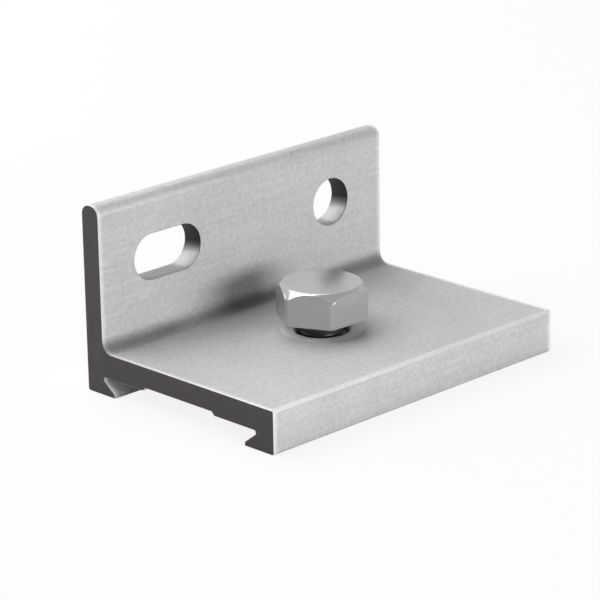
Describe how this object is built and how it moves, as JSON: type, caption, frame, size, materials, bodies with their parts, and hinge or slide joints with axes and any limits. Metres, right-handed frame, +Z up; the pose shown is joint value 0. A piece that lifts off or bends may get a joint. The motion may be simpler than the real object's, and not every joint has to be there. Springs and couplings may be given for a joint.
{
  "type": "track wall bracket",
  "caption": "L-shaped wall bracket of extruded section: a flange with a slot and a hole for wall screws, a plate with an undercut channel for a track, and a hex bolt that clamps it.",
  "frame": {"origin": "on the wall face at mid-length, on the line of the wall fixings", "axes": "+X along the track, +Y into the wall, +Z up from the plate along the flange"},
  "size_m": [0.06, 0.04, 0.0294],
  "materials": {
    "aluminium_section": "satin mill finish with fine lines along the extrusion, and sawn ends",
    "plated_steel": "bright zinc plating"
  },
  "bodies": {
    "bracket": {"bracket": "aluminium_section"},
    "bolt": {"clamp_bolt": "plated_steel"}
  },
  "joints": [
    {"name": "bolt_travel", "type": "slide", "parent": "bracket", "child": "bolt", "axis": [0, 0, 1], "range_m": [-0.002, 0.0026]}
  ]
}
